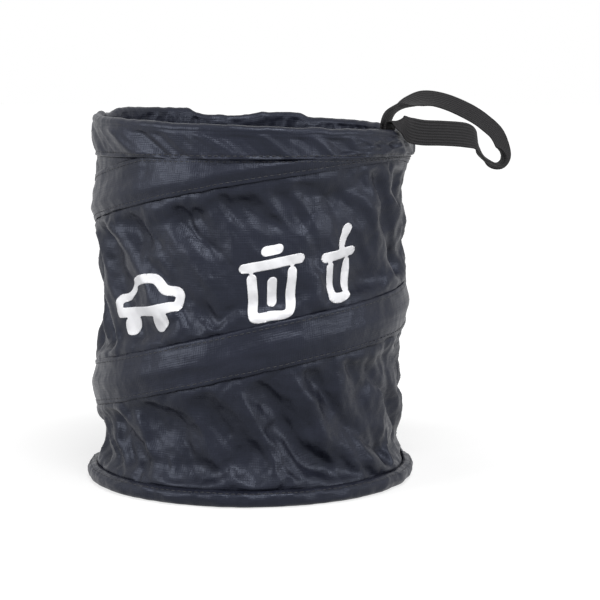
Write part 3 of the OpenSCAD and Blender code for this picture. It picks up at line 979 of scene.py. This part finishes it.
class Finish:
    """A material built by plain calls around one Principled shader."""

    def __init__(self, name, **constants):
        self.material = bpy.data.materials.new(name)
        self.material.use_nodes = True
        self.tree = self.material.node_tree
        self.shader = self.tree.nodes["Principled BSDF"]
        for socket, value in constants.items():
            self.shader.inputs[socket.replace("_", " ")].default_value = value

    def add(self, kind, settings=None, sockets=None, out=0):
        """Adds a node: its settings first, then the values or links of its sockets."""
        node = self.tree.nodes.new(kind)
        for key, value in (settings or {}).items():
            setattr(node, key, value)
        named = sockets.items() if isinstance(sockets, dict) else enumerate(sockets or [])
        for key, value in named:
            self.plug(node.inputs[key], value)
        return Value(self, node.outputs[out])

    def plug(self, socket, value):
        if isinstance(value, Value):
            self.tree.links.new(value.socket, socket)
        else:
            socket.default_value = value

    def feed(self, socket, value):
        self.plug(self.shader.inputs[socket], value)

    def stretched(self, source, scale):
        """Object or UV coordinates, scaled along each axis."""
        place = self.add("ShaderNodeTexCoord", out=source)
        return self.add("ShaderNodeMapping", None, {"Vector": place, "Scale": scale})

    def noise(self, place, scale, detail=2.0):
        sockets = {"Vector": place, "Scale": scale, "Detail": detail}
        return self.add("ShaderNodeTexNoise", None, sockets)

    def cells(self, place, scale):
        settings = {"feature": "SMOOTH_F1"}
        sockets = {"Vector": place, "Scale": scale, "Smoothness": 0.35}
        return self.add("ShaderNodeTexVoronoi", settings, sockets)

    def waves(self, place, scale, direction):
        settings = {"bands_direction": direction, "wave_profile": "SIN"}
        return self.add("ShaderNodeTexWave", settings, {"Vector": place, "Scale": scale})

    def mix(self, share, low, high):
        settings = {"data_type": "RGBA"}
        return self.add("ShaderNodeMix", settings, {0: share, 6: low, 7: high}, out=2)

    def bump(self, height, distance, under=None):
        sockets = {"Height": height, "Distance": distance, "Strength": 1.0}
        if under is not None:
            sockets["Normal"] = under
        return self.add("ShaderNodeBump", None, sockets)


def nylon(name, low, high, rough, crumple):
    """Coated nylon: fine weave, slubs along the threads, small crumples and a soft shine."""
    f = Finish(name, IOR=1.5, Specular_IOR_Level=0.3, Specular_Tint=(0.74, 0.81, 1, 1))
    whole = f.stretched("Object", (1, 1, 1))
    flat = f.stretched("UV", (1, 1, 1))
    warp = f.waves(flat, 300, "X")
    weft = f.waves(flat, 300, "Y")
    slub_u = f.noise(f.stretched("UV", (90, 2200, 1)), 1.0)
    slub_v = f.noise(f.stretched("UV", (2200, 110, 1)), 1.0)
    large = f.cells(f.stretched("Object", (1, 1, 0.5)), 130)
    fine = f.noise(whole, 420, 3.0)
    height = large + f.cells(whole, 330) * 0.25 + fine * 0.12
    bumped = f.bump(height, crumple)
    threads = warp * 0.35 + weft * 0.35 + slub_u * 0.9 + slub_v * 0.7
    f.feed("Normal", f.bump(threads, 0.00006, bumped))
    tone = f.noise(whole, 55, 3.0) * 0.4 + slub_u * 0.35 + slub_v * 0.25
    f.feed("Base Color", f.mix((tone - 0.3) * 2.2, low, high))
    f.feed("Roughness", rough + (f.noise(whole, 90, 2.0) - 0.5) * 0.14 + (slub_u - 0.5) * 0.3)
    return f.material


def elastic():
    """Woven elastic: rubber ribs lengthwise and close weft across, nearly matt, with painted shade
    between the ribs and painted light on their crests in its colour.
    """
    f = Finish("strap_elastic_weave", IOR=1.45, Specular_IOR_Level=0.25)
    flat = f.stretched("UV", (1, 1, 1))
    weft = f.waves(flat, 330, "Y")
    # Stripes at the rib pitch, used in the colour as painted shade in the grooves and painted light on
    # the rib crests
    ribs = 1 - f.waves(flat, 235.6, "X")
    fuzz = f.noise(f.stretched("UV", (900, 500, 1)), 1.0, 3.0)
    f.feed("Normal", f.bump(weft * 0.6 + fuzz * 0.7, 0.00014))
    # The rib stripes darken the grooves and lighten the crests: painted shade and painted light
    tone = fuzz * 0.4 + ribs * 0.7 - 0.1
    f.feed("Base Color", f.mix(tone, (0.001, 0.001, 0.0012, 1), (0.021, 0.02, 0.022, 1)))
    f.feed("Roughness", 0.5 + fuzz * 0.15)
    return f.material


def white_print():
    """Thick screen print, with the faint grain of the cloth under it."""
    f = Finish("print_white_ink", IOR=1.45, Specular_IOR_Level=0.25)
    whole = f.stretched("Object", (1, 1, 1))
    grain = f.noise(whole, 900, 3.0)
    soft = f.noise(whole, 180, 3.0)
    f.feed("Normal", f.bump(grain * 0.5 + soft, 0.00006))
    f.feed("Base Color", f.mix(soft, (0.86, 0.865, 0.9, 1), (0.93, 0.93, 0.95, 1)))
    f.feed("Roughness", 0.5 + soft * 0.12)
    return f.material


def metal(name, colour, rough):
    """Drawn or stamped metal with fine lengthwise marks."""
    f = Finish(name, Metallic=1.0)
    whole = f.stretched("Object", (1, 1, 1))
    marks = f.noise(whole, 1400, 3.0)
    f.feed("Normal", f.bump(marks, 0.00002))
    dark = tuple(0.75 * c for c in colour)
    f.feed("Base Color", f.mix(marks, (*dark, 1), (*colour, 1)))
    f.feed("Roughness", rough + marks * 0.12)
    return f.material


def thread():
    """Twisted polyester sewing thread."""
    f = Finish("sewing_thread", IOR=1.5)
    fibres = f.noise(f.stretched("Object", (1, 1, 1)), 2600, 2.0)
    f.feed("Normal", f.bump(fibres, 0.00003))
    f.feed("Base Color", f.mix(fibres, (0.006, 0.0065, 0.009, 1), (0.024, 0.025, 0.032, 1)))
    f.feed("Roughness", 0.45 + fibres * 0.15)
    return f.material


def give(piece, material):
    piece.data.materials.clear()
    piece.data.materials.append(material)


def look_at(thing, place):
    thing.rotation_euler = (Vector(place) - thing.location).to_track_quat("-Z", "Y").to_euler()


def camera():
    """The photograph's view: a long lens in front, a little above the rim."""
    data = bpy.data.cameras.new("camera")
    data.sensor_width = 36.0
    data.lens = CAMERA_LENS
    thing = bpy.data.objects.new("camera", data)
    bpy.context.scene.collection.objects.link(thing)
    thing.location = CAMERA_PLACE
    look_at(thing, CAMERA_AIM)
    bpy.context.scene.camera = thing


def lamp(name, place, size, power):
    data = bpy.data.lights.new(name, "AREA")
    data.size = size
    data.energy = power
    thing = bpy.data.objects.new(name, data)
    bpy.context.scene.collection.objects.link(thing)
    thing.location = place
    look_at(thing, LAMP_AIM)


def seen_white(tree):
    """1 for the rays that see the white background: camera, glossy and transmission rays."""
    path = tree.nodes.new("ShaderNodeLightPath")
    share = path.outputs["Is Glossy Ray"]
    for ray in ("Is Camera Ray", "Is Transmission Ray"):
        most = tree.nodes.new("ShaderNodeMath")
        most.operation = "MAXIMUM"
        tree.links.new(share, most.inputs[0])
        tree.links.new(path.outputs[ray], most.inputs[1])
        share = most.outputs[0]
    return share


def studio():
    """White surroundings, a pale floor that keeps the shadow, and soft lamps."""
    scene = bpy.context.scene
    world = bpy.data.worlds.new("studio")
    scene.world = world
    world.use_nodes = True
    tree = world.node_tree
    plain = tree.nodes["Background"]
    plain.inputs["Color"].default_value = (WORLD_LIGHT, WORLD_LIGHT, WORLD_LIGHT, 1)
    white = tree.nodes.new("ShaderNodeBackground")
    white.inputs["Color"].default_value = (1, 1, 1, 1)
    mixed = tree.nodes.new("ShaderNodeMixShader")
    tree.links.new(seen_white(tree), mixed.inputs["Fac"])
    tree.links.new(plain.outputs[0], mixed.inputs[1])
    tree.links.new(white.outputs[0], mixed.inputs[2])
    tree.links.new(mixed.outputs[0], tree.nodes["World Output"].inputs["Surface"])

    bpy.ops.mesh.primitive_plane_add(size=60, location=(0, 0, -0.0002))
    floor = bpy.context.object
    floor.name = "floor"
    f = Finish("floor_white", Roughness=0.9, Specular_IOR_Level=0.1, Base_Color=(0.35, 0.35, 0.35, 1))
    place = f.stretched("Object", (1, 1, 1))
    far = f.add("ShaderNodeVectorMath", {"operation": "LENGTH"}, [place], out=1)
    level = f.add("ShaderNodeMapRange", None, [far, 0.1, 0.3, FLOOR_NEAR, FLOOR_FAR])
    level = level * Value(f, seen_white(f.tree))
    glow = f.tree.nodes.new("ShaderNodeEmission")
    both = f.tree.nodes.new("ShaderNodeAddShader")
    f.plug(glow.inputs["Strength"], level)
    f.tree.links.new(f.shader.outputs[0], both.inputs[0])
    f.tree.links.new(glow.outputs[0], both.inputs[1])
    f.tree.links.new(both.outputs[0], f.tree.nodes["Material Output"].inputs["Surface"])
    give(floor, f.material)

    for settings in LAMPS:
        lamp(*settings)
    scene.view_settings.view_transform = "Standard"


def fold_with_rim(piece):
    """Gives the piece a mesh of its own. It works out the share of the wall left below the rim when the
    rim is down, but nothing uses that share.
    """
    left = SEAM_Z - HEM_DROP - 0.2 - TRAVEL - WALL_LOW
    keep = left / (HELD_Z - WALL_LOW)
    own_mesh(piece)


camera()

wall_grid = wall_cloth()
cloth = Cloth(wall_grid)
band_grid = band_cloth()
rim_grid = rim_cloth()
base_grid = base_cloth()

round_wall = 2 * math.pi * WALL_R
band_long = (BAND_END - BAND_START) * round_wall / 360
rim_wide = 2 * (RIM_H + HEM_DROP) + 4

wall = sheet_solid("wall_cloth", wall_grid, WALL_T, True, round_wall, WALL_TOP - WALL_LOW)
band = sheet_solid("spiral_casing_cloth", band_grid, BAND_T, False, band_long, BAND_W)
rim = sheet_solid("rim_casing_cloth", rim_grid, CASING_T, True, round_wall, rim_wide)
base = ring_solid("base_casing_cloth", base_grid, CASING_T, round_wall, 20)
panel = panel_piece()
strap = strap_piece()
wire = wire_piece("spring_wire_steel", WIRE_START, WIRE_SPLIT)
rim_wire = wire_piece("rim_ring_steel", WIRE_SPLIT, WIRE_END)
mark = print_piece(cloth)

seam_in = BAND_SEAM_IN / np.maximum(band_hi(BAND_A) - band_lo(BAND_A), 5)
base_seam = BASE_SEAM * (BASE_ROWS - 1) / (base_grid.shape[1] - 1)
low_thread = seam("stitches_spiral_low", band_grid, seam_in, skip=BAND_SEAM_SKIP)
high_thread = seam("stitches_spiral_high", band_grid, 1 - seam_in, skip=BAND_SEAM_SKIP)
rim_thread = seam("stitches_rim", rim_grid, RIM_SEAM, True)
base_thread = seam("stitches_base", base_grid, base_seam, True, True)

nylon_deep = (0.003, 0.0035, 0.007, 1)
wall_finish = nylon("nylon_wall", nylon_deep, (0.015, 0.0165, 0.027, 1), 0.42, 0.0006)
casing_finish = nylon("nylon_casing", nylon_deep, (0.016, 0.0175, 0.029, 1), 0.4, 0.0005)
panel_finish = nylon("nylon_panel", (0.013, 0.014, 0.022, 1), (0.03, 0.032, 0.045, 1), 0.58, 0.0005)
thread_finish = thread()
steel = metal("spring_steel", (0.45, 0.46, 0.48), 0.3)
crimp = metal("crimp_aluminium", (0.7, 0.7, 0.72), 0.35)

for piece, finish, body, node, material_slot in (
    (wall, wall_finish, "base", "wall_fabric", "wall_fabric"),
    (band, casing_finish, "base", "spiral_casing", "casing_fabric"),
    (rim, casing_finish, "rim", "rim_casing", "casing_fabric"),
    (base, casing_finish, "base", "base_casing", "casing_fabric"),
    (panel, panel_finish, "base", "base_panel", "panel_fabric"),
    (strap, elastic(), "rim", "hanging_strap", "strap_elastic"),
    (wire, steel, "base", "spring_wire", "spring_steel"),
    (rim_wire, steel, "rim", None, "spring_steel"),
    (mark, white_print(), "base", "printed_mark", "white_print"),
    (low_thread, thread_finish, "base", None, "casing_fabric"),
    (high_thread, thread_finish, "base", None, "casing_fabric"),
    (rim_thread, thread_finish, "rim", None, "casing_fabric"),
    (base_thread, thread_finish, "base", None, "casing_fabric"),
):
    give(piece, finish)
    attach(piece, body)
    if node:
        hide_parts(node)

for node in ("base_wire_sleeve", "rim_wire_sleeve"):
    give(frame["nodes"][node], crimp)

for piece in (wall, band, wire, mark, low_thread, high_thread):
    fold_with_rim(piece)

studio()
